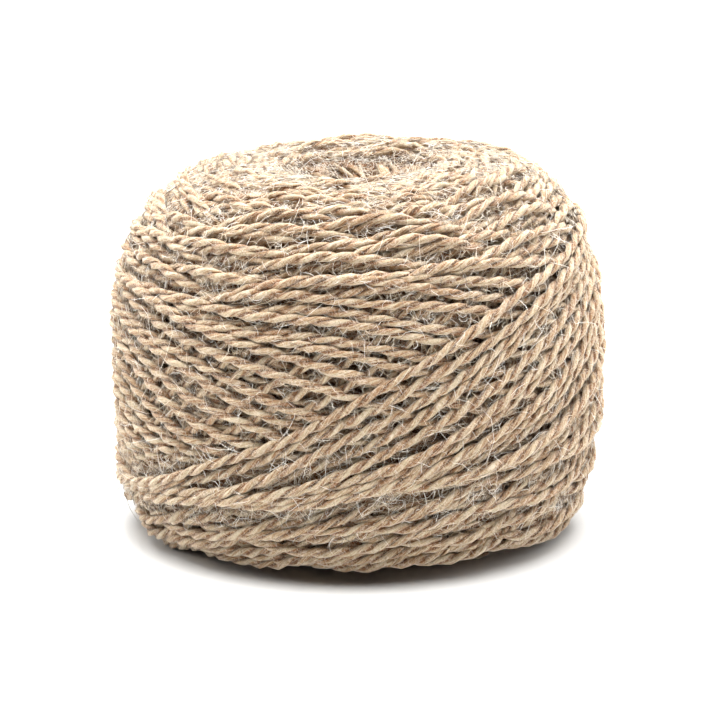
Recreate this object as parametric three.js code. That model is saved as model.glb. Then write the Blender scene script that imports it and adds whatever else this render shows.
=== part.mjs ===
// A ball of two-ply alpaca yarn, as a ball winder makes it: a rounded drum with a flat foot, a domed top and a
// hollow core where the spindle stood. The solid is the wound form with its main turns raised on it.
// Millimetres, +Z up. The origin is the middle of the foot, and -Y is the front.
import * as THREE from "three";

// Driving sizes of the ball
const BALL_DIAMETER = 85;
const BALL_HEIGHT = 65;
const FOOT_RADIUS = 33.5; // outer edge of the flat spot that the ball stands on
const WAIST_HEIGHT = 30; // where the side stands upright
const LOWER_CORNER = 3; // superellipse exponents: 2 is round, more is squarer
const UPPER_CORNER = 2.7;
const CROWN_RADIUS = 17; // highest ring, from which the top turns down into the core

// The hollow core
const FUNNEL_DEPTH = 10;
const CORE_RADIUS = 7.4;
const CORE_FOOT_RADIUS = 9; // a little wider, as a tapered spindle leaves it
const CORE_FOOT_ROUNDING = 3;
const CORE_OVAL = 0.1; // share by which the slack core is wider across than from front to back
const CORE_RIBS = 9; // steep first turns that show on the wall of the core
const CORE_RIB_HEIGHT = 0.9;
const CORE_RIB_LEAN = 0.035; // radians that a rib leans for each millimetre of depth

// The main turns, raised as ridges two or three strands wide
const RIDGE_HEIGHT = 1.7;
const RIDGE_HALF_WIDTH = 2.8;
const LAYER_LIFT = 1.1; // how far the last turn is lifted by the turns that it crosses
const BED_HEIGHT = 1.25; // the finer turns that fill the gaps between the ridges
const RELIEF = RIDGE_HEIGHT + LAYER_LIFT;
const FOOT_FADE = 4; // the ridges flatten out over this height above the foot

// Each turn lies in a plane, as taut yarn does. high_deg is the azimuth that a layer's first turn climbs towards
// (0 is the right), and each later turn climbs a step further round. tilt_deg is how steeply it climbs, rise is
// how far its middle lies above half height, and lift is the layer's share of the lift.
const TURN_LAYERS = [
  { turns: 8, high_deg: 340, tilt_deg: 47, rise: 2, lift: 0.1 },
  { turns: 9, high_deg: 318, tilt_deg: 37, rise: 1, lift: 0.2 },
  { turns: 14, high_deg: 334.3, tilt_deg: 23, rise: 0, lift: 0.7 },
];
const WINDER_LEAN_DEG = 8; // the layers' shared lean towards the right

// Turns that cross the top as straight chords beside the core, and dive under the next ring at both ends
const TOP_CHORDS = [
  { chords: 6, distance: 12.5, start_deg: 10, lift: 0.7 },
  { chords: 7, distance: 18.8, start_deg: 35, lift: 0.9 },
  { chords: 9, distance: 26, start_deg: 5, lift: 0.6 },
];
const CHORD_REACH = 1.1; // half length of a chord as a share of its distance from the axis

// Fineness of the surface
const RING_STEP = 1.97;
const CORE_RING_STEP = 4;
const MOST_COLUMNS = 132;
const CORE_COLUMNS = 44;
const COLUMN_WIDTH = 2.05;

const YARN_COLOUR = 0xcbb292;

const { degToRad, lerp, smoothstep } = THREE.MathUtils;
const HALF_PI = Math.PI / 2;
const SIDE_RADIUS = BALL_DIAMETER / 2;

// Points of a quarter superellipse, from its side (angle 0) to its top or foot (angle a quarter turn)
function quarterArc(centre, half, exponent, steps) {
  return Array.from({ length: steps + 1 }, (_, i) => {
    const angle = (HALF_PI * i) / steps;
    const across = Math.max(Math.cos(angle), 0) ** (2 / exponent);
    const up = Math.sin(angle) ** (2 / exponent);
    return new THREE.Vector2(
      centre.x + half.x * across,
      centre.y + half.y * up,
    );
  });
}

// The half section as (radius, height), from the foot's edge round the side and the top to the crown
function sideLine() {
  const lower = quarterArc(
    new THREE.Vector2(FOOT_RADIUS, WAIST_HEIGHT),
    new THREE.Vector2(SIDE_RADIUS - FOOT_RADIUS, -WAIST_HEIGHT),
    LOWER_CORNER,
    60,
  ).reverse();
  const upper = quarterArc(
    new THREE.Vector2(CROWN_RADIUS, WAIST_HEIGHT),
    new THREE.Vector2(SIDE_RADIUS - CROWN_RADIUS, BALL_HEIGHT - WAIST_HEIGHT),
    UPPER_CORNER,
    80,
  );
  return [...lower, ...upper.slice(1)];
}

// The half section from the crown down the funnel and the core to the foot
function coreLine() {
  const funnel = quarterArc(
    new THREE.Vector2(CROWN_RADIUS, BALL_HEIGHT - FUNNEL_DEPTH),
    new THREE.Vector2(CORE_RADIUS - CROWN_RADIUS, FUNNEL_DEPTH),
    2,
    16,
  ).reverse();
  const coreFoot = quarterArc(
    new THREE.Vector2(
      CORE_FOOT_RADIUS + CORE_FOOT_ROUNDING,
      CORE_FOOT_ROUNDING,
    ),
    new THREE.Vector2(-CORE_FOOT_ROUNDING, -CORE_FOOT_ROUNDING),
    2,
    4,
  );
  return [...funnel, ...coreFoot];
}

// Walks a line at an even step, giving each point's place on the section and its outward normal
function evenSteps(line, step) {
  const along = [0];
  line
    .slice(1)
    .forEach((point, i) => along.push(along[i] + point.distanceTo(line[i])));
  const length = along[along.length - 1];
  const count = Math.round(length / step);
  return Array.from({ length: count + 1 }, (_, i) => {
    const s = (length * i) / count;
    const found = along.findIndex((value) => value >= s - 1e-9);
    const k = Math.max(found, 1);
    const share = (s - along[k - 1]) / (along[k] - along[k - 1]);
    const before = line[Math.max(k - 2, 0)];
    const after = line[Math.min(k + 1, line.length - 1)];
    const run = after.clone().sub(before).normalize();
    return {
      place: line[k - 1].clone().lerp(line[k], share),
      normal: new THREE.Vector2(run.y, -run.x),
    };
  });
}

// The planes of all the turns round the side, in the order they are wound
function turnPlanes() {
  const lean = Math.tan(degToRad(WINDER_LEAN_DEG));
  return TURN_LAYERS.flatMap(
    ({ turns, high_deg, tilt_deg, rise, lift }, layer) => {
      const climb = Math.tan(degToRad(tilt_deg));
      const nextLift = TURN_LAYERS[layer + 1]?.lift ?? 1;
      return Array.from({ length: turns }, (_, i) => {
        const high = degToRad(high_deg - (360 * i) / turns);
        const slopeX = lean + climb * Math.cos(high);
        const slopeY = climb * Math.sin(high);
        const across = new THREE.Vector3(-slopeX, -slopeY, 1).normalize();
        return {
          across,
          offset: across.z * (BALL_HEIGHT / 2 + rise),
          lift: LAYER_LIFT * lerp(lift, nextLift, i / turns),
        };
      });
    },
  );
}

const TURNS = turnPlanes();

// The rounded crest of a ridge, at a distance from its middle line
function crest(distance) {
  const share = distance / RIDGE_HALF_WIDTH;
  return Math.max(1 - share * share, 0) ** 0.8 * RIDGE_HEIGHT;
}

// How far the turns round the side stand out at a point of the smooth body
function turnRelief(point, outward) {
  return TURNS.reduce((most, { across, offset, lift }) => {
    const facing = across.dot(outward);
    const distance =
      Math.abs(across.dot(point) - offset) / Math.sqrt(1.0001 - facing ** 2);
    const height = crest(distance);
    const bedded = lift * Math.min((3 * height) / RIDGE_HEIGHT, 1);
    return Math.max(most, height + bedded);
  }, BED_HEIGHT);
}

// How far the chords across the top stand out
function chordRelief(azimuth, radius) {
  return TOP_CHORDS.reduce((most, { chords, distance, start_deg, lift }) => {
    for (let i = 0; i < chords; i++) {
      const turned = azimuth - degToRad(start_deg + (360 * i) / chords);
      const past = Math.abs(radius * Math.sin(turned)) / distance;
      const shown = 1 - smoothstep(past, 0.6 * CHORD_REACH, CHORD_REACH);
      const reach = Math.abs(radius * Math.cos(turned) - distance);
      const height = shown * crest(reach);
      const bedded = LAYER_LIFT * lift * Math.min((3 * height) / RIDGE_HEIGHT, 1);
      most = Math.max(most, height + bedded);
    }
    return most;
  }, BED_HEIGHT);
}

function footFade(height) {
  return smoothstep(height, 0, FOOT_FADE);
}

// One ring of vertices: the section turned to each azimuth and sunk below the highest crest by its relief
function ringOf({ place, normal }, columns, reliefAt, widening = () => 1) {
  return Array.from({ length: columns }, (_, i) => {
    const azimuth = (2 * Math.PI * i) / columns;
    const around = new THREE.Vector3(Math.cos(azimuth), Math.sin(azimuth), 0);
    const outward = around.clone().multiplyScalar(normal.x).setZ(normal.y);
    const point = around
      .multiplyScalar(place.x * widening(azimuth))
      .setZ(place.y);
    const sunk =
      (reliefAt(azimuth, point, outward) - RELIEF) * footFade(place.y);
    point.addScaledVector(outward, sunk);
    return point.setZ(Math.max(point.z, 0));
  });
}

function sideRing(step) {
  const columns = Math.min(
    MOST_COLUMNS,
    Math.round((2 * Math.PI * step.place.x) / COLUMN_WIDTH),
  );
  return ringOf(step, columns, (azimuth, point, outward) =>
    Math.max(
      turnRelief(point, outward),
      outward.z > 0.3 ? chordRelief(azimuth, step.place.x) : 0,
    ),
  );
}

function coreRing(step) {
  const depth = BALL_HEIGHT - step.place.y;
  const inside = smoothstep(depth, 2, FUNNEL_DEPTH);
  const reliefAt = (azimuth) => {
    const wave = Math.cos(CORE_RIBS * (azimuth - CORE_RIB_LEAN * depth));
    const rib = RELIEF - (CORE_RIB_HEIGHT * (1 - wave)) / 2;
    return lerp(chordRelief(azimuth, step.place.x), rib, inside);
  };
  const widening = (azimuth) =>
    1 + CORE_OVAL * inside * footFade(step.place.y) * Math.cos(2 * azimuth);
  return ringOf(step, CORE_COLUMNS, reliefAt, widening);
}

function footRing(radius, columns) {
  const step = {
    place: new THREE.Vector2(radius, 0),
    normal: new THREE.Vector2(0, -1),
  };
  return ringOf(step, columns, () => RELIEF);
}

// Joins two rings, whose columns may differ in number, with one band of triangles
function bandBetween(lower, upper, firstOfLower, firstOfUpper) {
  const triangles = [];
  let i = 0;
  let j = 0;
  while (i < lower.length || j < upper.length) {
    const lowerIsNext = (i + 1) / lower.length <= (j + 1) / upper.length;
    const a = firstOfLower + (i % lower.length);
    const b = firstOfUpper + (j % upper.length);
    if (j >= upper.length || (i < lower.length && lowerIsNext)) {
      i++;
      triangles.push(a, firstOfLower + (i % lower.length), b);
    } else {
      j++;
      triangles.push(a, firstOfUpper + (j % upper.length), b);
    }
  }
  return triangles;
}

// The closed surface through all the rings, the last joined to the first
function surfaceOf(rings) {
  const firsts = [];
  const points = [];
  for (const ring of rings) {
    firsts.push(points.length);
    points.push(...ring);
  }
  const triangles = rings.flatMap((ring, i) => {
    const next = (i + 1) % rings.length;
    return bandBetween(ring, rings[next], firsts[i], firsts[next]);
  });
  return new THREE.BufferGeometry().setFromPoints(points).setIndex(triangles);
}

function yarnBall() {
  const geometry = surfaceOf([
    footRing(CORE_FOOT_RADIUS + CORE_FOOT_ROUNDING, CORE_COLUMNS),
    footRing((CORE_FOOT_RADIUS + FOOT_RADIUS) / 2, 64),
    ...evenSteps(sideLine(), RING_STEP).map(sideRing),
    ...evenSteps(coreLine(), CORE_RING_STEP).slice(1, -1).map(coreRing),
  ]);
  geometry.computeBoundingBox();
  const { min, max } = geometry.boundingBox;
  return geometry
    .translate(-(min.x + max.x) / 2, -(min.y + max.y) / 2, 0)
    .scale(
      BALL_DIAMETER / (max.x - min.x),
      BALL_DIAMETER / (max.y - min.y),
      BALL_HEIGHT / max.z,
    );
}

const ball = new THREE.Mesh(
  yarnBall(),
  new THREE.MeshStandardMaterial({
    color: YARN_COLOUR,
    roughness: 0.95,
    metalness: 0,
  }),
);
ball.name = "yarn_ball";

const group = new THREE.Group();
group.add(ball);

export default group;
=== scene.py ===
"""A ball of two-ply alpaca yarn, wound from one strand turn by turn, on a plain pale floor.

Every strand is bedded in the strands wound before it, and each is two plies twisted round each other. Sizes
in the code are in millimetres, as a spinner gives them, and turn to metres as a mesh is made. +Z is up and
-Y is the front.
"""

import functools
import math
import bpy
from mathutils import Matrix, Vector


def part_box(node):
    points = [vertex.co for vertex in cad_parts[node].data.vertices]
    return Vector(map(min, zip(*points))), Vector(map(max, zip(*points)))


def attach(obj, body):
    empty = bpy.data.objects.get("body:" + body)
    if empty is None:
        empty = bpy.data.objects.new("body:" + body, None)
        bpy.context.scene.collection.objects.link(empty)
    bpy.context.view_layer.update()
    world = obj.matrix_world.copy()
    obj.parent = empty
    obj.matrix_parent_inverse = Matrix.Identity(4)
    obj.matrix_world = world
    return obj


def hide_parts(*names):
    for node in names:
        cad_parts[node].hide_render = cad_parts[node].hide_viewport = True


bl_info = {
    "name": "Ball of Alpaca Yarn",
    "version": (1, 0, 0),
    "blender": (4, 5, 0),
    "location": "3D View > Sidebar > Yarn Ball",
    "description": "Winds a centre-pull ball of two-ply alpaca yarn with its fuzz, floor and studio light",
    "category": "Add Mesh",
}

import bpy
import numpy as np
from bpy.props import FloatProperty, FloatVectorProperty, IntProperty, PointerProperty
from mathutils import Vector

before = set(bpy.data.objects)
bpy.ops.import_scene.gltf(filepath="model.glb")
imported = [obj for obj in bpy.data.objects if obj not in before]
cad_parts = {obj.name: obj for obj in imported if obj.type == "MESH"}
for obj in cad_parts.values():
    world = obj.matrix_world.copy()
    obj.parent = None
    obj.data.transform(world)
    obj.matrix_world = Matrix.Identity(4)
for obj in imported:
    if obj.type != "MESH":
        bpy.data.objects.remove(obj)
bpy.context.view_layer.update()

NODE = "yarn_ball"
MM = 0.001

BALL_LOW, BALL_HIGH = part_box(NODE)
BALL_RADIUS = (BALL_HIGH[0] - BALL_LOW[0]) / 2 / MM
BALL_HEIGHT = (BALL_HIGH[2] - BALL_LOW[2]) / MM

# The section of the ball. The two corners are superellipses: 2 is round, and more is squarer.
FOOT_RADIUS = 32.0
WAIST_HEIGHT = 30.0
LOWER_CORNER = 2.8
UPPER_CORNER = 2.7
CROWN_RADIUS = 17.0
FUNNEL_DEPTH = 10.0
CORE_RADIUS = 7.4
CORE_FOOT_RADIUS = 9.0
CORE_FOOT_ROUNDING = 3.0

# What isn't even about it: the top leans up to the right, and the foot sits a little to the left and is
# lifted a little off the floor at the front. Each comes in over some height or depth.
TOP_LEAN = 0.032
LEAN_FROM = 40.0
LEAN_OVER = 25.0
FOOT_SHIFT = 0.9
FOOT_SHIFT_HEIGHT = 22.0
FRONT_LIFT = 1.7
LIFT_FROM = 15.0
LIFT_OVER = 16.0

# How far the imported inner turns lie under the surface, at points on the section
BED_DEPTHS = [
    {"radius": 12.0, "height": 0.0, "depth": 1.9},  # core foot
    {"radius": 32.0, "height": 0.0, "depth": 2.4},  # foot edge
    {"radius": 42.5, "height": 30.0, "depth": 3.6},  # waist
    {"radius": 36.0, "height": 59.0, "depth": 2.6},  # shoulder
    {"radius": 17.0, "height": 65.0, "depth": 2.6},  # crown
    {"radius": 8.0, "height": 56.0, "depth": 2.3},  # core mouth
    {"radius": 9.0, "height": 3.0, "depth": 1.9},  # core end
]
BED_ROW_STEP = 7
BED_COLUMNS = 110
BED_LUMPS = 0.25
BED_SINK = 0.2
BED_OFF_FLOOR = 0.4

# Turns round the side in the order they are wound, a row for each time the ball has gone once round. slope is
# the climb for each millimetre out from the axis, and spread its share of unevenness.
SIDE_CYCLES = [
    {"round_deg": 360, "turns": 30, "slope": 0.95, "spread": 0.06},
    {"round_deg": 360, "turns": 30, "slope": 0.82, "spread": 0.08},
    {"round_deg": 360, "turns": 34, "slope": 0.72, "spread": 0.08},
    {"round_deg": 360, "turns": 36, "slope": 0.60, "spread": 0.09},
    {"round_deg": 270, "turns": 24, "slope": 0.49, "spread": 0.07},
    {"round_deg": 90, "turns": 9, "slope": 0.40, "spread": 0.05},
]
LAST_SLOPE = 0.395
LEAN_SLOPE = 0.139  # all turns lean this much up towards the right
TURN_SCATTER = 0.16  # how unevenly turns are spaced, as a share of the space
CENTRE_SCATTER = 0.5  # how far a turn's middle lies over or under half height
WOBBLE = 0.9  # how far a turn strays from its plane
FREE_TURNS = 11  # the last turns, which don't slip

# Turns across the top and the foot, as straight chords beside the core that move outwards as the ball grows.
# past is how far their ends reach beyond their middle, and turn how much faster they go round.
CROWN_CHORDS = {"count": 350, "first": 12.5, "last": 32.0, "past": 5.0, "turn": 1}
FOOT_CHORDS = {"count": 95, "first": 14.0, "last": 27.0, "past": 4.0, "turn": 2.13}
CHORD_TURN = math.radians(8.3)
CHORD_SCATTER = 0.5
CHORD_BOW = 0.6
CHORD_ENDS = 3.0
CORE_STRANDS = {"count": 46, "top": 16.0, "depth": 36.0, "lean": 0.036}

GRID = 0.36  # cell of the map of heights
COLUMNS = 720  # of the map of heights, round the axis
STEP = 1.8  # distance between rings along a strand
CROSSING = 0.6  # a strand's crest over its middle, and its middle over the crests it crosses
REACH = 0.85  # half width of a strand in the map of heights
MEAN_UNDER_CREST = 0.75  # how far the mean surface lies under the crests of the outer strands
LEAST_RADIUS = 4.0  # keeps a step round the axis from growing without end inside the core
MOST_SLIP = 1.6
MOST_PROUD = 0.6  # how far a strand's middle may stand over the mean surface
MOST_RAISED = 2.5  # how far thin places are filled out to the full size
SETTLED_AFTER = 12  # strands laid between one settling and the next
FAR_UNDER = -9.0  # lower than any strand
ANY_TURN = 6.3  # a little over a full turn in radians, for random starts
SLIDE_BLUR = 1.8  # finer bumps than this don't push a strand aside
STEEPEST = 0.8  # slope of a pile beyond which it pushes no harder
END_THINNING = 0.35  # thickness of a ply where it dips out of sight
LOOSE_TWIST = 0.35  # radians by which the twist runs ahead or behind, over TWIST_WAVE millimetres
TWIST_WAVE = 90.0
THICK_WAVE = 37.0  # millimetres over which a ply grows thicker and thinner
PLY_SIDES = 5
HAIR_SIDES = 3
LEAST_RUN = 4  # samples in the shortest stretch of strand that is made
MOST_TRIANGLES = 88000  # in one piece
HAIR_STEPS = 4
FUZZ_FROM, FUZZ_TO = 32.0, 117.0  # the fuzzy stretch of the section, from the foot's edge into the core

# The map of a tube's faces: the height of a ring of faces for its width, and the space kept for each row
STRAND_RING = 2.6
HAIR_RING = 0.3
ROW_SPACE = 1.15

# Hairs drawn in colour alone: the size of their loops in millimetres
LOOSE_HAIRS = [
    {"loop": 2.7, "seed": 0.0, "colour": "#E6DCCB"},
    {"loop": 2.3, "seed": 7.0, "colour": "#5B4636"},
    {"loop": 1.8, "seed": 3.0, "colour": "#DCCDB8"},
]

# Kinds of loose hair: in the gaps, on the strands, standing, and guard hairs. length is a share of the middle
# length, curl in radians for each millimetre, and rise the climb for each millimetre. A hair is rooted in a
# strand, or lies across a gap between strands.
HAIRS = [
    {"share": 0.42, "gap": 1, "length": 1.0, "curl": 1.5, "rise": 0.0},
    {"share": 0.27, "gap": 0, "length": 1.0, "curl": 1.0, "rise": 0.12},
    {"share": 0.27, "gap": 0, "length": 0.8, "curl": 0.3, "rise": 0.6},
    {"share": 0.04, "gap": 0, "length": 2.6, "curl": 0.08, "rise": 0.12},
]

# The lamps stand a little behind the ball on either side, and the softbox of the world hangs over it
LAMPS = [
    {"name": "left", "at": (-0.72, 0.2, 0.35), "size": 0.5, "watts": 4.1},
    {"name": "right", "at": (0.72, 0.2, 0.35), "size": 0.5, "watts": 4.1},
]
LAMP_AIM = (0, 0, 0.03)
SOFTBOX = (0.0, 0.08, 0.997)
WORLD_STRENGTH = 11.9
AIM_RIGHT = 0.0004
AIM_DOWN = 0.0032
FLOOR_HALF = 3.0


def quarter_arc(centre, half, exponent, steps):
    """Points of a quarter superellipse, from its side to its top or foot."""
    angle = np.linspace(0, math.pi / 2, steps)
    across = np.maximum(np.cos(angle), 0) ** (2 / exponent)
    up = np.sin(angle) ** (2 / exponent)
    return np.column_stack([centre[0] + half[0] * across, centre[1] + half[1] * up])


@functools.lru_cache(maxsize=1)
def section():
    """The half section at even steps, from the core's foot round the side and the top and down the core."""
    core_edge = CORE_FOOT_RADIUS + CORE_FOOT_ROUNDING
    foot = np.column_stack([np.linspace(core_edge, FOOT_RADIUS, 40), np.zeros(40)])
    half = (BALL_RADIUS - FOOT_RADIUS, -WAIST_HEIGHT)
    lower = quarter_arc((FOOT_RADIUS, WAIST_HEIGHT), half, LOWER_CORNER, steps=200)
    half = (BALL_RADIUS - CROWN_RADIUS, BALL_HEIGHT - WAIST_HEIGHT)
    upper = quarter_arc((CROWN_RADIUS, WAIST_HEIGHT), half, UPPER_CORNER, steps=260)
    half = (CORE_RADIUS - CROWN_RADIUS, FUNNEL_DEPTH)
    funnel = quarter_arc((CROWN_RADIUS, BALL_HEIGHT - FUNNEL_DEPTH), half, 2, steps=60)
    half = (-CORE_FOOT_ROUNDING, -CORE_FOOT_ROUNDING)
    core_foot = quarter_arc((core_edge, CORE_FOOT_ROUNDING), half, 2, steps=16)
    line = np.vstack([foot, lower[::-1], upper, funnel[::-1], core_foot])
    step = np.hypot(*np.diff(line, axis=0).T)
    line = line[np.r_[True, step > 1e-6]]
    along = np.r_[0, np.cumsum(np.hypot(*np.diff(line, axis=0).T))]
    rows = round(along[-1] / GRID)
    even = np.linspace(0, along[-1], rows + 1)
    points = np.column_stack([np.interp(even, along, line[:, k]) for k in (0, 1)])
    run = np.gradient(points, axis=0)
    run /= np.hypot(*run.T)[:, None]
    normals = np.column_stack([run[:, 1], -run[:, 0]])
    keys = [
        np.argmin(np.hypot(points[:, 0] - row["radius"], points[:, 1] - row["height"]))
        for row in BED_DEPTHS
    ]
    depth = np.interp(np.arange(len(even)), keys, [row["depth"] for row in BED_DEPTHS])
    return {
        "along": even,
        "points": points,
        "normals": normals,
        "bed": points - normals * depth[:, None],
        "step": even[1],
        "rows": len(even),
    }


def look_up(values, along):
    """Values kept by rows of the section, at distances along it."""
    s = section()
    at = np.clip(along / s["step"], 0, s["rows"] - 1.001)
    row = at.astype(int)
    share = at - row
    if values.ndim > 1:
        share = share[:, None]
    return values[row] * (1 - share) + values[row + 1] * share


def section_radius(along):
    """The distance from the axis, at distances along the section."""
    return look_up(section()["points"], along)[:, 0]


def place(azimuth, along, height):
    """Points over the bed of the ball, and the directions that stand out from it."""
    s = section()
    bed = look_up(s["bed"], along)
    normal = look_up(s["normals"], along)
    normal /= np.hypot(*normal.T)[:, None]
    flat = bed + normal * height[:, None]
    c, d = np.cos(azimuth), np.sin(azimuth)
    points = np.column_stack([flat[:, 0] * c, flat[:, 0] * d, flat[:, 1]])
    low = np.clip(1 - points[:, 2] / FOOT_SHIFT_HEIGHT, 0, 1)
    high = np.clip((points[:, 2] - LEAN_FROM) / LEAN_OVER, 0, 1)
    points[:, 2] += TOP_LEAN * high * points[:, 0]
    points[:, 0] -= FOOT_SHIFT * low
    points[:, 2] += FRONT_LIFT * low * np.clip((-points[:, 1] - LIFT_FROM) / LIFT_OVER, 0, 1)
    outward = np.column_stack([normal[:, 0] * c, normal[:, 0] * d, normal[:, 1]])
    return points, outward


def even_steps(azimuth, along):
    """A closed path over the ball, walked again at an even step."""
    azimuth = np.r_[azimuth, azimuth[0] + 2 * math.pi]
    along = np.r_[along, along[0]]
    radius = section_radius(along)
    mean = (radius[1:] + radius[:-1]) / 2
    run = np.hypot(np.diff(azimuth) * mean, np.diff(along))
    walked = np.r_[0, np.cumsum(run)]
    even = np.linspace(0, walked[-1], round(walked[-1] / STEP) + 1)[:-1]
    return np.interp(even, walked, azimuth), np.interp(even, walked, along)


def side_paths(random):
    """The turns round the side. Each lies in a plane through the middle of the ball, as taut yarn does."""
    s = section()
    points, along = s["points"], s["along"]
    # The section is looked up by the angle round a point well inside it
    middle = np.array([20.0, WAIST_HEIGHT])
    outer = (along > 8) & (points[:, 0] > CROWN_RADIUS + 0.2)
    outer_points, outer_along = points[outer], along[outer]
    outer_turned = np.arctan2(*(outer_points - middle).T[::-1])
    azimuth = np.linspace(0, 2 * math.pi, 241)[:-1]

    settings = []
    for row, later in zip(SIDE_CYCLES, [*SIDE_CYCLES[1:], {"slope": LAST_SLOPE}]):
        step = math.radians(row["round_deg"]) / row["turns"]
        for turn in range(row["turns"]):
            share = turn / row["turns"]
            slope = row["slope"] * (1 - share) + later["slope"] * share
            settings.append((step, slope, row["spread"]))
    highs = np.cumsum([step for step, *_ in settings][::-1])[::-1]
    paths = []
    for high, (step, slope, spread) in zip(highs - highs[-1], settings):
        slope *= 1 + spread * random.uniform(-1, 1)
        high += step * TURN_SCATTER * random.uniform(-1, 1)
        climb = LEAN_SLOPE * np.cos(azimuth) + slope * np.cos(azimuth - high)
        centre = BALL_HEIGHT / 2 + CENTRE_SCATTER * random.uniform(-1, 1)
        # Halving finds how far out the turn's plane meets the section
        near, far = np.zeros_like(azimuth), np.full_like(azimuth, 70.0)
        for _ in range(26):
            radius = (near + far) / 2
            height = centre + radius * climb
            angle = np.arctan2(height - middle[1], radius - middle[0])
            edge = np.column_stack([np.interp(angle, outer_turned, outer_points[:, k]) for k in (0, 1)])
            inside = np.hypot(radius - middle[0], height - middle[1]) < np.hypot(*(edge - middle).T)
            near = np.where(inside, radius, near)
            far = np.where(inside, far, radius)
        found = np.interp(angle, outer_turned, outer_along)
        for waves in range(3, 11):
            wobble = random.normal(0, WOBBLE) / waves
            found = found + wobble * np.cos(waves * azimuth + random.uniform(0, ANY_TURN))
        paths.append(even_steps(azimuth, found))
    return paths


def chord_paths(random, chords, upper):
    """Straight chords across the top, or the foot, that pass beside the core."""
    s = section()
    points, along = s["points"], s["along"]
    top = np.argmax(points[:, 1] >= WAIST_HEIGHT)
    if upper:
        end = np.argmax((along > along[top]) & (points[:, 0] <= CORE_RADIUS + 0.05))
        radii, reach = points[top:end, 0][::-1], along[top:end][::-1]
    else:
        radii, reach = points[:top, 0], along[:top]
    order = np.argsort(radii)
    radii, reach = radii[order], reach[order]
    paths = []
    for i in range(chords["count"]):
        share = i / (chords["count"] - 1)
        distance = chords["first"] + (chords["last"] - chords["first"]) * share
        distance += CHORD_SCATTER * random.uniform(-1, 1)
        half = math.sqrt((distance + chords["past"]) ** 2 - distance**2) + CHORD_ENDS
        across = np.arange(-half, half, STEP)
        bow = CHORD_BOW * random.uniform(-1, 1) * (1 - (across / half) ** 2)
        high = -CHORD_TURN * i * chords["turn"] + random.uniform(-0.05, 0.05)
        azimuth = high + np.arctan2(across, distance + bow)
        paths.append((azimuth, np.interp(np.hypot(distance + bow, across), radii, reach)))
    return paths


def core_paths(random):
    """The first turns, which stand steeply on the wall of the core."""
    s = section()
    points, along = s["points"], s["along"]
    crown = np.argmax(points[:, 1] >= BALL_HEIGHT - 0.01)
    start = along[crown + np.argmax(points[crown:, 0] <= CORE_STRANDS["top"])]
    paths = []
    for i in range(CORE_STRANDS["count"]):
        end = start + CORE_STRANDS["depth"] * random.uniform(0.85, 1.1)
        reach = np.arange(start, end, STEP)
        lean = CORE_STRANDS["lean"] * random.uniform(0.6, 1.3)
        turned = 2 * math.pi * i / CORE_STRANDS["count"] + random.uniform(-0.08, 0.08)
        azimuth = turned - lean * (reach - start) + 0.02 * np.sin(reach * 0.5 + i)
        paths.append((azimuth, reach))
    return paths


def smoothed(values, closed, times):
    """Evens out heights along a strand as its tension does."""
    for _ in range(times):
        wide = np.pad(values, 1, mode="wrap" if closed else "edge")
        values = (wide[:-2] + 2 * values + wide[2:]) / 4
    return values


def crossways(azimuth, along, closed):
    """The step in azimuth and distance along the section for a millimetre to the left of a path."""
    radius = section_radius(along)
    if closed:
        turn = np.angle(np.exp(1j * (np.roll(azimuth, -1) - np.roll(azimuth, 1))))
        rise = np.roll(along, -1) - np.roll(along, 1)
    else:
        turn, rise = np.gradient(azimuth), np.gradient(along)
    length = np.hypot(turn * radius, rise) + 1e-9
    return -rise / length / radius, turn * radius / length


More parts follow.
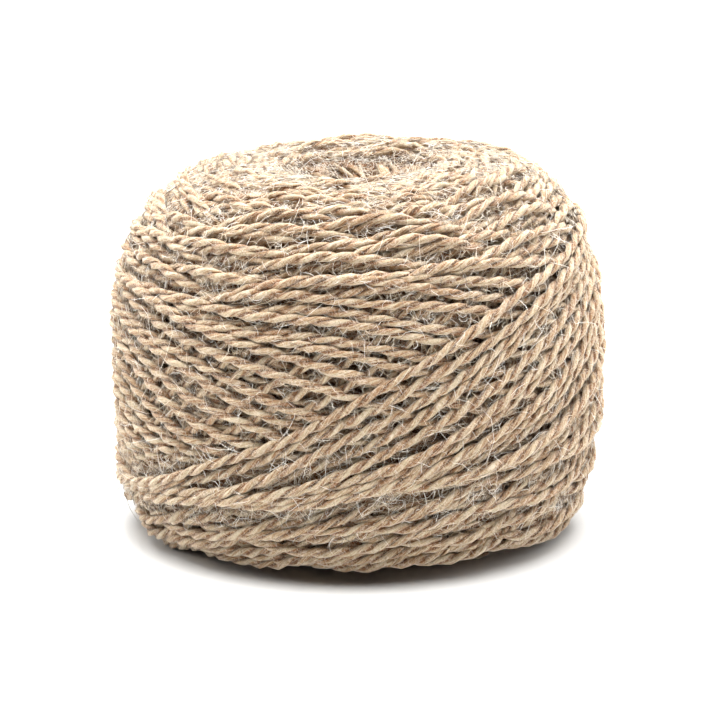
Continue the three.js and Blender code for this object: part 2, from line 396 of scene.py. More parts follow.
class Heights:
    """How high the wound strands stand over the bed, by rows of the section and columns round the axis."""

    def __init__(self):
        s = section()
        self.step = s["step"]
        self.map = np.zeros((s["rows"], COLUMNS))
        self.radius = np.maximum(s["bed"][:, 0], LEAST_RADIUS)
        self.full = np.hypot(*(s["points"] - s["bed"]).T) - MEAN_UNDER_CREST
        self.slides = 0

    def cells(self, azimuth, along):
        """The rows and columns of the map that places fall in."""
        row = np.clip(np.round(along / self.step), 0, len(self.map) - 1)
        column = np.round(azimuth / (2 * math.pi) * COLUMNS)
        return row.astype(int), column.astype(int) % COLUMNS

    def blurred(self, width):
        """The map with everything finer than a width in millimetres evened out."""
        waves = np.arange(COLUMNS // 2 + 1)
        fade = np.exp(-0.5 * (waves[None, :] * width / self.radius[:, None]) ** 2)
        level = np.fft.irfft(np.fft.rfft(self.map, axis=1) * fade, COLUMNS, axis=1)
        reach = math.ceil(2.6 * width / self.step)
        apart = np.arange(-reach, reach + 1)
        weight = np.exp(-0.5 * (apart * self.step / width) ** 2)
        weight /= weight.sum()
        tall = np.pad(level, ((reach, reach), (0, 0)), mode="edge")
        even = np.zeros_like(level)
        for i, share in enumerate(weight):
            even += share * tall[i : i + len(level)]
        return even

    def settle(self, strands, width, most_raised):
        """Presses piled strands down to the full size of the ball, as tension does, and keeps their order."""
        over = np.maximum(self.blurred(width) - self.full[:, None], -most_raised)
        self.map -= over
        for strand in strands:
            strand["height"] = strand["height"] - over[self.cells(strand["azimuth"], strand["along"])]

    def hold_down(self, strands):
        """Takes off what still stands too proud, and maps the strands again as they now lie."""
        self.map[:] = FAR_UNDER
        for strand in strands:
            full = look_up(self.full, strand["along"])
            proud = strand["height"] - full
            held = MOST_PROUD * np.tanh(np.maximum(proud, 0) / MOST_PROUD)
            height = full + np.where(proud > 0, held, proud)
            strand["height"] = smoothed(height, strand["closed"], 6)
            self.stamp(strand["azimuth"], strand["along"], strand["height"], strand["closed"])

    def slide(self, azimuth, along, closed):
        """Moves a strand off the piles that it would slip from."""
        if self.slides % 2 == 0:
            self.slopes = np.gradient(self.blurred(SLIDE_BLUR), self.step, axis=0)
        self.slides += 1
        moved = np.zeros_like(along)
        for _ in range(8):
            push = self.slopes[self.cells(azimuth, along + moved)]
            moved = moved - np.clip(push, -STEEPEST, STEEPEST) * 0.55
            moved = smoothed(moved, closed, 12)
        return along + np.clip(moved, -MOST_SLIP, MOST_SLIP)

    def lay(self, azimuth, along, closed, ends):
        """Lays a strand over what is there, with its ends a little lower, and returns its height."""
        beside = crossways(azimuth, along, closed)
        under = np.full(len(azimuth), FAR_UNDER)
        for sideways in (-0.7, -0.35, 0.0, 0.35, 0.7):
            curve = REACH - math.sqrt(REACH**2 - sideways**2)
            at = self.cells(azimuth + sideways * beside[0], along + sideways * beside[1])
            under = np.maximum(under, self.map[at] - curve)
        height = smoothed(under, closed, 3)
        for _ in range(8):
            height = smoothed(np.maximum(height, under - 0.4), closed, 5)
        height = height + CROSSING
        if ends:
            past = np.abs(np.linspace(-1, 1, len(height)))
            height = height - ends * np.clip((past - 0.55) / 0.45, 0, 1) ** 2
        self.stamp(azimuth, along, height, closed)
        return height

    def stamp(self, azimuth, along, height, closed):
        """Raises the map to the round top of a strand."""
        if closed:
            azimuth = np.unwrap(np.r_[azimuth, azimuth[0]])
            along = np.r_[along, along[0]]
            height = np.r_[height, height[0]]
        at = np.arange(len(azimuth))
        fine = np.arange(0, len(azimuth) - 1, 0.25)
        azimuth, along, height = (np.interp(fine, at, values) for values in (azimuth, along, height))
        row, column = self.cells(azimuth, along)
        rows = math.ceil(REACH / self.step)
        cell = 2 * math.pi * self.radius[row] / COLUMNS
        columns = math.ceil(REACH / cell.min())
        dr = np.arange(-rows, rows + 1)[None, :, None]
        dc = np.arange(-columns, columns + 1)[None, None, :]
        away = (dr * self.step) ** 2 + (dc * cell[:, None, None]) ** 2
        inside = away < REACH**2
        crest = height[:, None, None] + CROSSING * np.sqrt(np.maximum(1 - away / REACH**2, 0))
        r = np.broadcast_to(np.clip(row[:, None, None] + dr, 0, len(self.map) - 1), away.shape)
        c = np.broadcast_to((column[:, None, None] + dc) % COLUMNS, away.shape)
        np.maximum.at(self.map, (r[inside], c[inside]), crest[inside])

    def shown(self, azimuth, along, height):
        """Which samples of a strand can be seen past the strands wound over them."""
        low = np.full(len(azimuth), 99.0)
        radius = section_radius(along)
        for distance in (0.0, 0.7, 1.4):
            for turned in np.arange(0, 2 * math.pi, math.pi / 4):
                a = azimuth + distance * math.cos(turned) / radius
                b = along + distance * math.sin(turned)
                low = np.minimum(low, self.map[self.cells(a, b)])
        return low <= height + CROSSING + 0.15


@functools.lru_cache(maxsize=1)
def winding():
    """All the strands of the ball in the order they are wound, each with the height of its middle."""
    random = np.random.default_rng(7)
    heights = Heights()
    strands = []
    plans = [
        ("core_strands", core_paths(random), False, 1.0),
        ("foot_strands", chord_paths(random, FOOT_CHORDS, False), False, 1.2),
        ("crown_strands", chord_paths(random, CROWN_CHORDS, True), False, 1.2),
        ("side_turns", side_paths(random), True, 0.0),
    ]
    for group, paths, closed, ends in plans:
        for turn, (azimuth, along) in enumerate(paths):
            if turn % SETTLED_AFTER == SETTLED_AFTER - 1:
                heights.settle(strands, 2.6, 0)
            if closed and turn < len(paths) - FREE_TURNS:
                along = heights.slide(azimuth, along, closed)
            height = heights.lay(azimuth, along, closed, ends)
            strand = {"group": group, "number": len(strands), "closed": closed}
            strands.append({**strand, "azimuth": azimuth, "along": along, "height": height})
    heights.settle(strands, 5.0, MOST_RAISED)
    heights.settle(strands, 2.2, MOST_RAISED)
    heights.hold_down(strands)
    for strand in strands:
        strand["shown"] = heights.shown(strand["azimuth"], strand["along"], strand["height"])
    return strands, heights


def runs_shown(strand):
    """The stretches of a strand that show, a little longer at each end, as lists of sample numbers."""
    wide = strand["shown"]
    order = np.arange(len(wide))
    for _ in range(2):
        around = np.pad(wide, 1, mode="wrap" if strand["closed"] else "constant")
        wide = around[:-2] | wide | around[2:]
    if strand["closed"]:
        if wide.all():
            return [(order, True)]
        start = int(np.argmin(wide))
        wide, order = np.roll(wide, -start), np.roll(order, -start)
    edges = np.flatnonzero(np.diff(np.r_[0, wide.astype(int), 0]))
    return [(order[a:b], False) for a, b in zip(edges[::2], edges[1::2]) if b - a >= LEAST_RUN]


def uneven_wave(length, scale, random):
    """A slow random wave of about unit size along a strand, in millimetres."""
    value = np.zeros_like(length)
    for share in (1.0, 0.53, 0.29):
        value += share * np.sin(length * 2 * math.pi / (scale * share) + random.uniform(0, ANY_TURN))
    return value / 1.3


class Tubes:
    """Collects tubes with capped ends, and makes one mesh of them."""

    def __init__(self, sides):
        self.sides = sides
        self.points, self.quads, self.caps = [], [], []
        self.fibres, self.tones = [], []
        self.cap_cells = []
        self.count, self.cells = 0, 0
        self.random = np.random.default_rng(5)

    def triangles(self):
        return 2 * sum(len(q) for q in self.quads) + (self.sides - 2) * len(self.caps)

    def add(self, middle, first, second, radius, lengths, twist, tone, closed, rough=0):
        """A tube round a line of middles, whose rings lie across it in the plane of two directions."""
        n, k = len(middle), self.sides
        around = np.arange(k) * 2 * math.pi / k
        angle = around[None, :] + twist[:, None]
        ring = np.cos(angle)[:, :, None] * first[:, None, :] + np.sin(angle)[:, :, None] * second[:, None, :]
        if rough:
            ring *= 1 + rough * self.random.uniform(-1, 1, (n, k, 1))
        points = middle[:, None, :] + ring * radius[:, None, None]
        self.points.append(points.reshape(-1, 3))
        across = radius[:, None, None] * np.column_stack([np.cos(around), np.sin(around)])
        run = np.broadcast_to(lengths[:, None, None], (n, k, 1))
        self.fibres.append(np.concatenate([run, across], axis=2).reshape(-1, 3))
        self.tones.append(np.full(n * k, tone))
        rings = np.arange(n if closed else n - 1)[:, None] * k
        after = (rings + k) % (n * k)
        side, beside = np.arange(k), (np.arange(k) + 1) % k
        corners = np.stack([rings + side, rings + beside, after + beside, after + side], axis=2)
        self.quads.append(corners.reshape(-1, 4) + self.count)
        if not closed:
            self.caps.append(self.count + side[::-1])
            self.caps.append(self.count + (n - 1) * k + side)
            self.cap_cells += [self.cells, self.cells + (n - 2) * k]
        self.cells += len(rings) * k
        self.count += n * k

    def add_hair(self, hair):
        """A hair with three sides that runs to a point at each end."""
        middle, first, second, radius, tone = hair
        start, cell = self.count, self.cells
        inner = slice(1, -1)
        count = len(middle) - 2
        steps, twist = np.arange(count, dtype=float), np.zeros(count)
        self.add(middle[inner], first[inner], second[inner], radius[inner], steps, twist, tone, False)
        del self.caps[-2:], self.cap_cells[-2:]
        self.points.append(middle[[0, -1]])
        self.fibres.append(np.zeros((2, 3)))
        self.tones.append(np.full(2, tone))
        last = start + (count - 1) * HAIR_SIDES
        for side in range(HAIR_SIDES):
            beside = (side + 1) % HAIR_SIDES
            self.caps.append(np.array([start + beside, start + side, self.count]))
            self.caps.append(np.array([last + side, last + beside, self.count + 1]))
            self.cap_cells += [cell + side, self.cells - HAIR_SIDES + side]
        self.count += 2

    def mesh(self, name, ring_height):
        """The mesh, with its fibre directions and tones, and a map that lays its tubes side by side."""
        points = np.vstack(self.points) * MM
        quads = np.vstack(self.quads)
        caps = np.array(self.caps, dtype=int).reshape(-1, self.sides)
        mesh = bpy.data.meshes.new(name)
        mesh.vertices.add(len(points))
        mesh.vertices.foreach_set("co", points.ravel())
        corners = np.r_[quads.ravel(), caps.ravel()]
        mesh.loops.add(len(corners))
        mesh.loops.foreach_set("vertex_index", corners)
        starts = np.r_[np.arange(len(quads)) * 4, quads.size + np.arange(len(caps)) * self.sides]
        mesh.polygons.add(len(starts))
        mesh.polygons.foreach_set("loop_start", starts)
        mesh.polygons.foreach_set("use_smooth", np.ones(len(starts), dtype=bool))
        fibre = mesh.attributes.new("fibre", "FLOAT_VECTOR", "POINT")
        fibre.data.foreach_set("vector", np.vstack(self.fibres).ravel())
        tone = mesh.attributes.new("tone", "FLOAT", "POINT")
        tone.data.foreach_set("value", np.concatenate(self.tones))
        strips = mesh.uv_layers.new(name="OFBake")
        strips.data.foreach_set("uv", self.strips(ring_height).ravel())
        mesh.update(calc_edges=True)
        mesh.validate()
        return mesh

    def strips(self, ring_height):
        """Corners of the faces on a square sheet: ring after ring in long rows with a gap between rows."""
        rings = self.cells // self.sides
        columns = math.ceil(math.sqrt(rings * (ring_height * ROW_SPACE)))
        rows = math.ceil(rings / columns)
        ring = np.repeat(np.arange(rings), self.sides)
        side = np.tile(np.arange(self.sides), rings)
        left = (ring % columns) / columns
        low = (ring // columns + side / self.sides / ROW_SPACE) / rows
        right, top = left + 1 / columns, low + 1 / self.sides / ROW_SPACE / rows
        sheet = [(left, low), (left, top), (right, top), (right, low)]
        corners = np.stack([np.column_stack(corner) for corner in sheet], axis=1)
        # A cap takes the colour in the middle of the face beside it
        beside = corners[np.array(self.cap_cells, dtype=int)].mean(axis=1)
        return np.vstack([corners.reshape(-1, 2), np.repeat(beside, self.sides, axis=0)])


def add_strand(tubes, strand):
    """Adds the two plies of a strand wherever it shows."""
    yarn = bpy.context.scene.yarn_ball_yarn
    random = np.random.default_rng(1000 + strand["number"])
    for order, closed in runs_shown(strand):
        azimuth, along = strand["azimuth"][order], strand["along"][order]
        middle, outward = place(azimuth, along, strand["height"][order])
        pitch = yarn.pitch / MM
        if closed:
            ahead = np.roll(middle, -1, axis=0) - np.roll(middle, 1, axis=0)
            step = np.linalg.norm(np.roll(middle, -1, axis=0) - middle, axis=1)
            lengths = np.r_[0, np.cumsum(step)][:-1]
            whole = step.sum()
            pitch = whole / round(whole / pitch)
        else:
            ahead = np.gradient(middle, axis=0)
            step = np.linalg.norm(np.diff(middle, axis=0), axis=1)
            lengths = np.r_[0, np.cumsum(step)]
        ahead /= np.linalg.norm(ahead, axis=1)[:, None]
        outward -= ahead * (outward * ahead).sum(1)[:, None]
        outward /= np.linalg.norm(outward, axis=1)[:, None]
        beside = np.cross(ahead, outward)
        loose = 0.0 if closed else LOOSE_TWIST * uneven_wave(lengths, TWIST_WAVE, random)
        turned = random.uniform(0, ANY_TURN) - 2 * math.pi * lengths / pitch + loose
        thick = 1 + yarn.unevenness * uneven_wave(lengths, THICK_WAVE, random)
        if closed:
            # Waves that fit a whole number of times meet where the turn closes
            thick = np.ones_like(lengths)
            for waves in (5, 8, 13):
                start = random.uniform(0, ANY_TURN)
                thick += yarn.unevenness * 0.6 * np.sin(2 * math.pi * waves * lengths / whole + start)
        for ply in (0, 1):
            turn = turned + ply * math.pi
            radius = yarn.ply / 2 / MM * thick * (1 + 0.04 * random.normal())
            off = np.cos(turn)[:, None] * outward + np.sin(turn)[:, None] * beside
            centre = middle + (yarn.ply_centre / MM * thick)[:, None] * off
            if not closed:
                radius[[0, -1]] *= END_THINNING
            tone = random.normal(0, 1)
            # A ply's roughness makes it a little thicker in places, so it is kept this far over the floor
            centre[:, 2] = np.maximum(centre[:, 2], radius * 1.08)
            lengths_from = lengths + random.uniform(0, 900)
            tubes.add(centre, outward, beside, radius, lengths_from, turn, tone, closed, yarn.roughness)


def strand_roots(random, count):
    """Places on the strands that show round the side and the top."""
    keys = ("azimuth", "along", "height")
    roots = np.vstack([np.column_stack([s[key] for key in keys])[s["shown"]] for s in winding()[0]])
    roots = roots[(roots[:, 1] > FUZZ_FROM) & (roots[:, 1] < FUZZ_TO)]
    azimuth, along, height = roots[random.integers(0, len(roots), count)].T
    return azimuth, along, height + random.uniform(-0.4, 0.5, count)


def gap_roots(random, count):
    """Places over the gaps between the outer strands."""
    heights = winding()[1]
    along = section()["along"]
    depth = np.clip(heights.full[:, None] - heights.map - 0.1, 0, 0.6)
    depth[(along < FUZZ_FROM) | (along > FUZZ_TO)] = 0
    weight = (depth * heights.radius[:, None]).ravel()
    cell = random.choice(len(weight), count, p=weight / weight.sum())
    row, column = np.divmod(cell, COLUMNS)
    height = heights.full[row] + random.uniform(-0.9, 0.45, count)
    return column * 2 * math.pi / COLUMNS, along[row], height


def moved_on(azimuth, along, heading, distance):
    """The place that lies a distance further over the ball, in a heading."""
    radius = np.maximum(section_radius(along), LEAST_RADIUS)
    return azimuth + distance * np.cos(heading) / radius, along + distance * np.sin(heading)


def hair_lines(random, fuzz):
    """Middles of the hairs and the directions out of the ball there. A row of HAIRS for each kind of hair."""
    kind = random.choice(len(HAIRS), fuzz.hairs, p=[row["share"] for row in HAIRS])
    keys = ("gap", "length", "curl", "rise")
    gap, length, curl, rise = (np.array([row[key] for row in HAIRS])[kind] for key in keys)
    places = zip(strand_roots(random, fuzz.hairs), gap_roots(random, fuzz.hairs))
    azimuth, along, height = (np.where(gap > 0, over, on) for on, over in places)
    length = length * fuzz.length / MM * np.exp(random.normal(0, 0.35, fuzz.hairs))
    heading = random.uniform(0, 2 * math.pi, fuzz.hairs)
    curl = curl * random.normal(0, 1, fuzz.hairs)
    rise = rise * np.abs(random.normal(0, 1, fuzz.hairs))
    azimuth, along = moved_on(azimuth, along, heading, -gap * length / 2)
    step = length / HAIR_STEPS
    lines, outward = [], []
    for _ in range(HAIR_STEPS + 1):
        points, out = place(azimuth, along, height)
        points[:, 2] = np.maximum(points[:, 2], 0.06)
        lines.append(points)
        outward.append(out)
        azimuth, along = moved_on(azimuth, along, heading, step)
        height = height + step * rise
        heading = heading + curl * step + random.normal(0, 0.25, fuzz.hairs)
        rise = rise * 0.9
    return np.stack(lines, axis=1), np.stack(outward, axis=1)


def finish_piece(name, mesh, surface):
    """Puts a mesh into the scene as a piece that rides on the ball and stands for its solid."""
    mesh.materials.append(material(surface))
    piece = bpy.data.objects.new(name, mesh)
    bpy.context.collection.objects.link(piece)
    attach(piece, "root")
    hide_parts(NODE)


def make_pieces(label, sides, ring_height, surface, items, add):
    """Adds items to tubes one by one, and makes a piece each time it is full."""
    tubes, number = Tubes(sides), 1
    for i, item in enumerate(items):
        add(tubes, item)
        if tubes.triangles() > MOST_TRIANGLES or i == len(items) - 1:
            if tubes.quads:
                name = f"{label}_{number}"
                finish_piece(name, tubes.mesh(name, ring_height), surface)
            tubes, number = Tubes(sides), number + 1


def make_strand_pieces(group):
    """Makes the pieces of one group of strands."""
    strands = [s for s in winding()[0] if s["group"] == group]
    make_pieces(group, PLY_SIDES, STRAND_RING, woollen_spun_alpaca, strands, add_strand)


def linear(hex_colour):
    """An sRGB hex colour as linear red, green and blue."""
    value = hex_colour.lstrip("#")
    channels = [int(value[i : i + 2], 16) / 255 for i in (0, 2, 4)]
    return tuple(c / 12.92 if c <= 0.04045 else ((c + 0.055) / 1.055) ** 2.4 for c in channels)


def length_setting(name, millimetres, description):
    return FloatProperty(name=name, description=description, default=millimetres * MM, unit="LENGTH")


def share_setting(name, default, description):
    return FloatProperty(name=name, description=description, default=default, subtype="FACTOR")


def colour_setting(name, shade, description):
    return FloatVectorProperty(name=name, description=description, default=linear(shade), subtype="COLOR")


class YarnSettings(bpy.types.PropertyGroup):
    ply: length_setting("Ply thickness", 1.2, "Thickness of one of the two plies")
    ply_centre: length_setting("Ply centre", 0.4, "Distance of a ply's middle from the middle of the strand")
    pitch: length_setting("Twist length", 8.5, "Length in which the plies turn once round each other")
    unevenness: share_setting("Unevenness", 0.08, "Share by which the plies grow thicker and thinner")
    roughness: share_setting("Roughness", 0.07, "Share by which a ply's surface is uneven in places")


class ColourSettings(bpy.types.PropertyGroup):
    cream: colour_setting("Cream fibre", "#C0B094", "The palest of the mixed fibres")
    beige: colour_setting("Beige fibre", "#A58664", "The fibre that most of the yarn is made of")
    brown: colour_setting("Brown fibre", "#845B3C", "The darker of the mixed fibres")
    dark: colour_setting("Dark fibre", "#493521", "The few dark fibres")
    rust: colour_setting("Rust", "#895C45", "Colour of the reddish fibres")


class FuzzSettings(bpy.types.PropertyGroup):
    hairs: IntProperty(name="Hairs", description="How many loose hairs the yarn has", default=29600)
    thickness: length_setting("Hair thickness", 0.085, "Three times a real hair's, so that it shows")
    length: length_setting("Hair length", 3.2, "Middle length of a hair")


class StudioSettings(bpy.types.PropertyGroup):
    elevation: FloatProperty(
        name="Camera elevation",
        description="Angle that the camera looks down at",
        default=math.radians(14),
        subtype="ANGLE",
    )
    distance: length_setting("Camera distance", 595, "Distance of the camera from the middle of the ball")
    lens: FloatProperty(name="Camera lens", description="Focal length in millimetres", default=171.5)
    light: share_setting("Light", 1.0, "Share of the studio's full light")


def node(tree, kind, inputs=None, **settings):
    """Adds a node with its own settings. An input given a socket is linked to it, and any other is set."""
    made = tree.nodes.new(kind)
    for key, value in settings.items():
        setattr(made, key, value)
    for key, value in (inputs or {}).items():
        if isinstance(value, bpy.types.NodeSocket):
            tree.links.new(value, made.inputs[key])
        else:
            made.inputs[key].default_value = value
    return made


def ramp_stops(made, stops):
    """Sets the stops of a colour ramp node."""
    elements = made.color_ramp.elements
    while len(elements) < len(stops):
        elements.new(1.0)
    for element, (position, colour) in zip(elements, stops):
        element.position = position
        element.color = (*colour, 1)


def with_loose_hairs(tree, colour, strength):
    """Draws curling lines over a colour, for the hairs too fine to build. They are 0.1 mm wide to show."""
    where = node(tree, "ShaderNodeTexCoord").outputs["Object"]
    for row in LOOSE_HAIRS:
        loops = {"Scale": 1 / (row["loop"] * MM), "W": row["seed"], "Detail": 1.5, "Distortion": 2.2}
        field = node(tree, "ShaderNodeTexNoise", {"Vector": where, **loops}, noise_dimensions="4D")
        level = node(tree, "ShaderNodeMath", {0: field.outputs["Fac"], 1: 0.5}, operation="SUBTRACT")
        away = node(tree, "ShaderNodeMath", {0: level.outputs[0]}, operation="ABSOLUTE")
        width = {"From Min": 0.015 / row["loop"], "From Max": 0.07 / row["loop"]}
        fade = {"To Min": strength, "To Max": 0.0}
        line = node(tree, "ShaderNodeMapRange", {"Value": away.outputs[0], **width, **fade})
        hair = {"Factor": line.outputs["Result"], "A": colour, "B": (*linear(row["colour"]), 1)}
        colour = node(tree, "ShaderNodeMix", hair, data_type="RGBA").outputs["Result"]
    return colour


def fibre_noise(tree, fibre, scale, values, dimensions="3D"):
    """Noise drawn out along the fibres. scale is its cells for each millimetre along a ply and across it."""
    drawn = node(tree, "ShaderNodeVectorMath", {0: fibre, 1: scale}, operation="MULTIPLY")
    values = {"Vector": drawn.outputs[0], "Scale": 1.0, **values}
    return node(tree, "ShaderNodeTexNoise", values, noise_dimensions=dimensions).outputs["Fac"]


def woollen_spun_alpaca(tree):
    """Alpaca, carded and spun woollen and then plied: a matt heather of fibres that run along each ply."""
    colours = bpy.context.scene.yarn_ball_colours
    fibre = node(tree, "ShaderNodeAttribute", attribute_name="fibre").outputs["Vector"]
    tone = node(tree, "ShaderNodeAttribute", attribute_name="tone").outputs["Fac"]
    # Fibres are 0.03 mm thick. They are drawn as streaks 0.26 mm wide and 7 mm long, so that they show.
    streak = {"Detail": 3.0, "Roughness": 0.62, "Distortion": 0.3}
    streaks = fibre_noise(tree, fibre, (0.15, 3.8, 3.8), streak)
    # The mix of the fleece drifts from pale to dark over about 11 mm
    drift = fibre_noise(tree, fibre, (0.09, 0.5, 0.5), {"Detail": 2.0})
    spread = node(tree, "ShaderNodeMath", {0: streaks, 1: 1.7, 2: -0.35}, operation="MULTIPLY_ADD")
    drifted = {0: drift, 1: 0.45, 2: spread.outputs[0]}
    drifted = node(tree, "ShaderNodeMath", drifted, operation="MULTIPLY_ADD").outputs[0]
    # Painted shade: each ply is drawn darker towards the groove between the two plies and a little paler on
    # its crest
    parts = node(tree, "ShaderNodeSeparateXYZ", {"Vector": fibre})
    across = {"From Min": -0.35, "From Max": 0.4, "To Min": -0.3, "To Max": 0.08}
    crest = {"Value": parts.outputs["Y"], **across}
    crest = node(tree, "ShaderNodeMapRange", crest, interpolation_type="SMOOTHSTEP").outputs["Result"]
    groove_shaded = node(tree, "ShaderNodeMath", {0: crest, 1: drifted}, operation="ADD")
    toned = node(tree, "ShaderNodeMath", {0: tone, 1: 0.03, 2: groove_shaded.outputs[0]}, operation="MULTIPLY_ADD")
    heather = node(tree, "ShaderNodeValToRGB", {"Fac": toned.outputs[0]})
    pale = [(0.7, colours.beige), (0.92, colours.cream)]
    ramp_stops(heather, [(0.3, colours.dark), (0.51, colours.brown), *pale])
    # Reddish locks are about 10 mm long and 0.6 mm wide
    rust = fibre_noise(tree, fibre, (0.1, 1.6, 1.6), {"Detail": 3.0, "W": 5.0}, "4D")
    share = {"Value": rust, "From Min": 0.52, "From Max": 0.68, "To Max": 0.4}
    share = node(tree, "ShaderNodeMapRange", share).outputs["Result"]
    mixed = {"Factor": share, "A": heather.outputs["Color"], "B": (*colours.rust, 1)}
    rusty = node(tree, "ShaderNodeMix", mixed, data_type="RGBA")
    veil = with_loose_hairs(tree, rusty.outputs["Result"], 0.4)
    bump = node(tree, "ShaderNodeBump", {"Height": streaks, "Strength": 0.75, "Distance": 0.17 * MM})
    return {
        "Base Color": veil,
        "Normal": bump.outputs["Normal"],
        "Roughness": 0.88,
        "Specular IOR Level": 0.25,
        "Sheen Weight": 0.6,
        "Sheen Roughness": 0.45,
        "Sheen Tint": (*linear("#FFF4E4"), 1),
    }


def loose_alpaca_hair(tree):
    """Loose alpaca hairs: mostly white or grey, a few brown, and smooth enough to catch the light."""
    tone = node(tree, "ShaderNodeAttribute", attribute_name="tone")
    colour = node(tree, "ShaderNodeValToRGB", {"Fac": tone.outputs["Fac"]})
    stops = [(0.0, "#3E2F25"), (0.24, "#7A6048"), (0.32, "#DCC7A6"), (0.8, "#F6F1E8")]
    ramp_stops(colour, [(position, linear(shade)) for position, shade in stops])
    surface = {"Roughness": 0.55, "Specular IOR Level": 0.4, "Sheen Weight": 0.3}
    return {"Base Color": colour.outputs["Color"], **surface}


def packed_alpaca_turns(tree):
    """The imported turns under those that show, in the same yarn, seen only as dark ground in the gaps."""
    colours = bpy.context.scene.yarn_ball_colours
    where = node(tree, "ShaderNodeTexCoord").outputs["Object"]
    # The grain is 1.1 mm, about the thickness of a ply
    grain = node(tree, "ShaderNodeTexNoise", {"Vector": where, "Scale": 900.0, "Detail": 3.0}).outputs["Fac"]
    colour = node(tree, "ShaderNodeValToRGB", {"Fac": grain})
    ramp_stops(colour, [(0.3, colours.dark), (0.5, colours.brown), (0.75, colours.beige)])
    tangle = with_loose_hairs(tree, colour.outputs["Color"], 0.5)
    bump = node(tree, "ShaderNodeBump", {"Height": grain, "Strength": 0.6, "Distance": 0.3 * MM})
    surface = {"Normal": bump.outputs["Normal"], "Roughness": 0.95, "Specular IOR Level": 0.1}
    return {"Base Color": tangle, **surface}


def matt_white_paper(tree):
    """Matt white paper, uncoated: pale and even, with hardly any shine."""
    return {"Base Color": (*linear("#D2D2D1"), 1), "Roughness": 0.8, "Specular IOR Level": 0.1}


@functools.lru_cache(maxsize=None)
def material(surface):
    """The material that a function draws, and is named for. The function returns its shader's inputs."""
    made = bpy.data.materials.new(surface.__name__)
    made.use_nodes = True
    tree = made.node_tree
    tree.nodes.clear()
    shader = node(tree, "ShaderNodeBsdfPrincipled", surface(tree))
    node(tree, "ShaderNodeOutputMaterial", {"Surface": shader.outputs["BSDF"]})
    return made


def studio_world(light):
    """A softbox over the ball, and a pale band just over the horizon, so that low views end in white."""
    world = bpy.data.worlds.new("studio")
    world.use_nodes = True
    tree = world.node_tree
    tree.nodes.clear()
    sky = node(tree, "ShaderNodeTexCoord").outputs["Generated"]
    parts = node(tree, "ShaderNodeSeparateXYZ", {"Vector": sky})
    band = {"From Min": 0.03, "From Max": 0.08, "To Min": 0.1, "To Max": 0.005}
    horizon = node(tree, "ShaderNodeMapRange", {"Value": parts.outputs["Z"], **band}).outputs["Result"]
    overhead = node(tree, "ShaderNodeVectorMath", {0: sky, 1: SOFTBOX}, operation="DOT_PRODUCT")
    edge = {"Value": overhead.outputs["Value"], "From Min": 0.72, "From Max": 0.98}
    softbox = node(tree, "ShaderNodeMapRange", edge, interpolation_type="SMOOTHSTEP").outputs["Result"]
    both = node(tree, "ShaderNodeMath", {0: horizon, 1: softbox}, operation="ADD").outputs[0]
    strength = node(tree, "ShaderNodeMath", {0: both, 1: WORLD_STRENGTH * light}, operation="MULTIPLY")
    glow = {"Color": (1, 1, 1, 1), "Strength": strength.outputs[0]}
    background = node(tree, "ShaderNodeBackground", glow)
    node(tree, "ShaderNodeOutputWorld", {"Surface": background.outputs["Background"]})
    return world


class YARNBALL_OT_studio(bpy.types.Operator):
    """Set the camera, the pale floor and the studio lights"""

    bl_idname = "yarn_ball.studio"
    bl_label = "Studio"

    def execute(self, context):
        studio = context.scene.yarn_ball_studio
        scene = context.scene
        camera = bpy.data.objects.new("camera", bpy.data.cameras.new("camera"))
        context.collection.objects.link(camera)
        camera.data.sensor_width = 36
        camera.data.lens = studio.lens
        camera.data.clip_end = 20
        e = studio.elevation
        back = Vector((0, -math.cos(e), math.sin(e)))
        up = Vector((0, math.sin(e), math.cos(e)))
        aim = Vector((AIM_RIGHT, 0, BALL_HEIGHT / 2 * MM)) - up * AIM_DOWN
        camera.location = aim + back * studio.distance
        camera.rotation_mode = "QUATERNION"
        camera.rotation_quaternion = (-back).to_track_quat("-Z", "Y")
        scene.camera = camera

        floor_mesh = bpy.data.meshes.new("floor")
        corners = [(-1, -1), (1, -1), (1, 1), (-1, 1)]
        floor_mesh.from_pydata([(x * FLOOR_HALF, y * FLOOR_HALF, 0) for x, y in corners], [], [(0, 1, 2, 3)])
        floor_mesh.materials.append(material(matt_white_paper))
        floor = bpy.data.objects.new("floor", floor_mesh)
        context.collection.objects.link(floor)

        scene.world = studio_world(studio.light)
        for row in LAMPS:
            lamp = bpy.data.lights.new(row["name"], "AREA")
            lamp.shape = "SQUARE"
            lamp.size = row["size"]
            lamp.energy = row["watts"] * studio.light
            stand = bpy.data.objects.new(row["name"], lamp)
            stand.location = row["at"]
            toward = Vector(LAMP_AIM) - stand.location
            stand.rotation_mode = "QUATERNION"
            stand.rotation_quaternion = toward.to_track_quat("-Z", "Y")
            context.collection.objects.link(stand)
        scene.view_settings.view_transform = "Standard"
        scene.view_settings.look = "None"
        return {"FINISHED"}


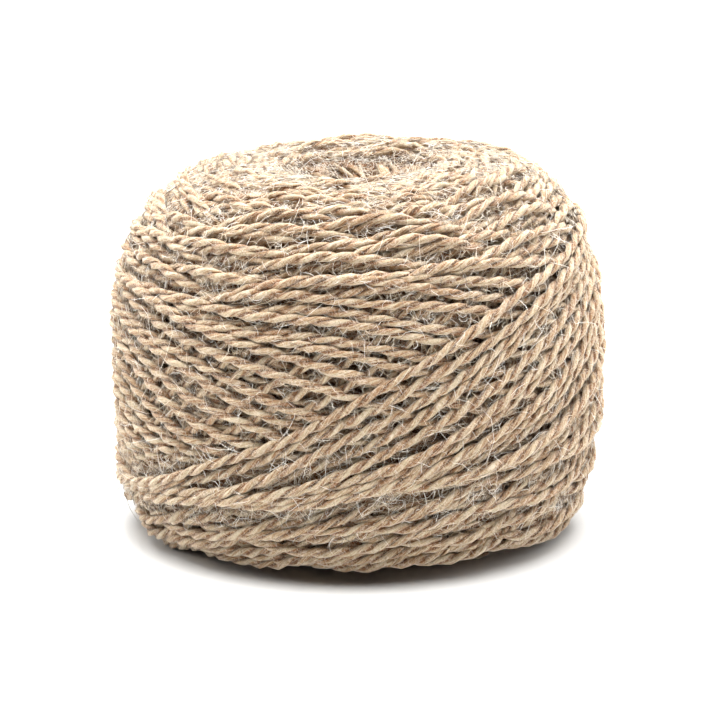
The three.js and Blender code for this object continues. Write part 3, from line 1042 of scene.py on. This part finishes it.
class YARNBALL_OT_bed(bpy.types.Operator):
    """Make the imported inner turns, which show as dark ground between the strands"""

    bl_idname = "yarn_ball.bed"
    bl_label = "Packed Inner Turns"

    def execute(self, context):
        s = section()
        kept = np.arange(0, s["rows"] - 1, BED_ROW_STEP)
        n = len(kept)
        azimuth = np.arange(BED_COLUMNS) * 2 * math.pi / BED_COLUMNS
        lumps = BED_LUMPS * np.random.default_rng(3).normal(size=(n, BED_COLUMNS)) - BED_SINK
        flat = s["bed"][kept][:, None, :] + s["normals"][kept][:, None, :] * lumps[:, :, None]
        across, high = flat[:, :, 0], np.maximum(flat[:, :, 1], BED_OFF_FLOOR)
        points = np.dstack([across * np.cos(azimuth), across * np.sin(azimuth), high]).reshape(-1, 3)
        row, column = np.divmod(np.arange(n * BED_COLUMNS), BED_COLUMNS)
        row, after = row * BED_COLUMNS, (row + 1) % n * BED_COLUMNS
        beside = (column + 1) % BED_COLUMNS
        faces = np.column_stack([row + column, row + beside, after + beside, after + column])
        mesh = bpy.data.meshes.new("packed_turns")
        mesh.from_pydata((points * MM).tolist(), [], faces.tolist())
        mesh.polygons.foreach_set("use_smooth", np.ones(len(faces), dtype=bool))
        finish_piece("packed_turns", mesh, packed_alpaca_turns)
        return {"FINISHED"}


class YARNBALL_OT_core_strands(bpy.types.Operator):
    """Wind the first strands, which stand on the wall of the hollow core"""

    bl_idname = "yarn_ball.core_strands"
    bl_label = "Core Strands"

    def execute(self, context):
        make_strand_pieces("core_strands")
        return {"FINISHED"}


class YARNBALL_OT_end_strands(bpy.types.Operator):
    """Wind the strands that cross the top and the foot beside the core"""

    bl_idname = "yarn_ball.end_strands"
    bl_label = "Top and Foot Strands"

    def execute(self, context):
        make_strand_pieces("crown_strands")
        make_strand_pieces("foot_strands")
        return {"FINISHED"}


class YARNBALL_OT_side_turns(bpy.types.Operator):
    """Wind the slanting turns round the side"""

    bl_idname = "yarn_ball.side_turns"
    bl_label = "Side Turns"

    def execute(self, context):
        make_strand_pieces("side_turns")
        return {"FINISHED"}


class YARNBALL_OT_fuzz(bpy.types.Operator):
    """Raise the loose hairs that make the yarn fuzzy"""

    bl_idname = "yarn_ball.fuzz"
    bl_label = "Fuzz"

    def execute(self, context):
        fuzz = context.scene.yarn_ball_fuzz
        random = np.random.default_rng(21)
        lines, outward = hair_lines(random, fuzz)
        tones = random.uniform(0, 1, fuzz.hairs)
        ahead = np.gradient(lines, axis=1)
        ahead /= np.linalg.norm(ahead, axis=2)[:, :, None] + 1e-9
        first = np.cross(ahead, outward + 0.001)
        first /= np.linalg.norm(first, axis=2)[:, :, None] + 1e-9
        second = np.cross(ahead, first)
        radii = np.full(lines.shape[:2], fuzz.thickness / 2 / MM)
        hairs = list(zip(lines, first, second, radii, tones))
        make_pieces("fuzz", HAIR_SIDES, HAIR_RING, loose_alpaca_hair, hairs, Tubes.add_hair)
        return {"FINISHED"}


class YARNBALL_PT_panel(bpy.types.Panel):
    bl_idname = "YARNBALL_PT_panel"
    bl_label = "Yarn Ball"
    bl_space_type = "VIEW_3D"
    bl_region_type = "UI"
    bl_category = "Yarn Ball"

    def draw(self, context):
        for operator in OPERATORS:
            self.layout.operator(operator.bl_idname)
        for name in SETTINGS:
            group = getattr(context.scene, name)
            box = self.layout.box()
            for key in group.__annotations__:
                box.prop(group, key)


SETTINGS = {
    "yarn_ball_yarn": YarnSettings,
    "yarn_ball_colours": ColourSettings,
    "yarn_ball_fuzz": FuzzSettings,
    "yarn_ball_studio": StudioSettings,
}
OPERATORS = [
    YARNBALL_OT_studio,
    YARNBALL_OT_bed,
    YARNBALL_OT_core_strands,
    YARNBALL_OT_end_strands,
    YARNBALL_OT_side_turns,
    YARNBALL_OT_fuzz,
]


def register():
    for cls in [*SETTINGS.values(), *OPERATORS, YARNBALL_PT_panel]:
        bpy.utils.register_class(cls)
    for name, cls in SETTINGS.items():
        setattr(bpy.types.Scene, name, PointerProperty(type=cls))


def unregister():
    for name in SETTINGS:
        delattr(bpy.types.Scene, name)
    for cls in [YARNBALL_PT_panel, *OPERATORS[::-1], *SETTINGS.values()]:
        bpy.utils.unregister_class(cls)


def main():
    register()
    bpy.ops.yarn_ball.studio()
    bpy.ops.yarn_ball.bed()
    bpy.ops.yarn_ball.core_strands()
    bpy.ops.yarn_ball.end_strands()
    bpy.ops.yarn_ball.side_turns()
    bpy.ops.yarn_ball.fuzz()


if __name__ == "__main__":
    main()
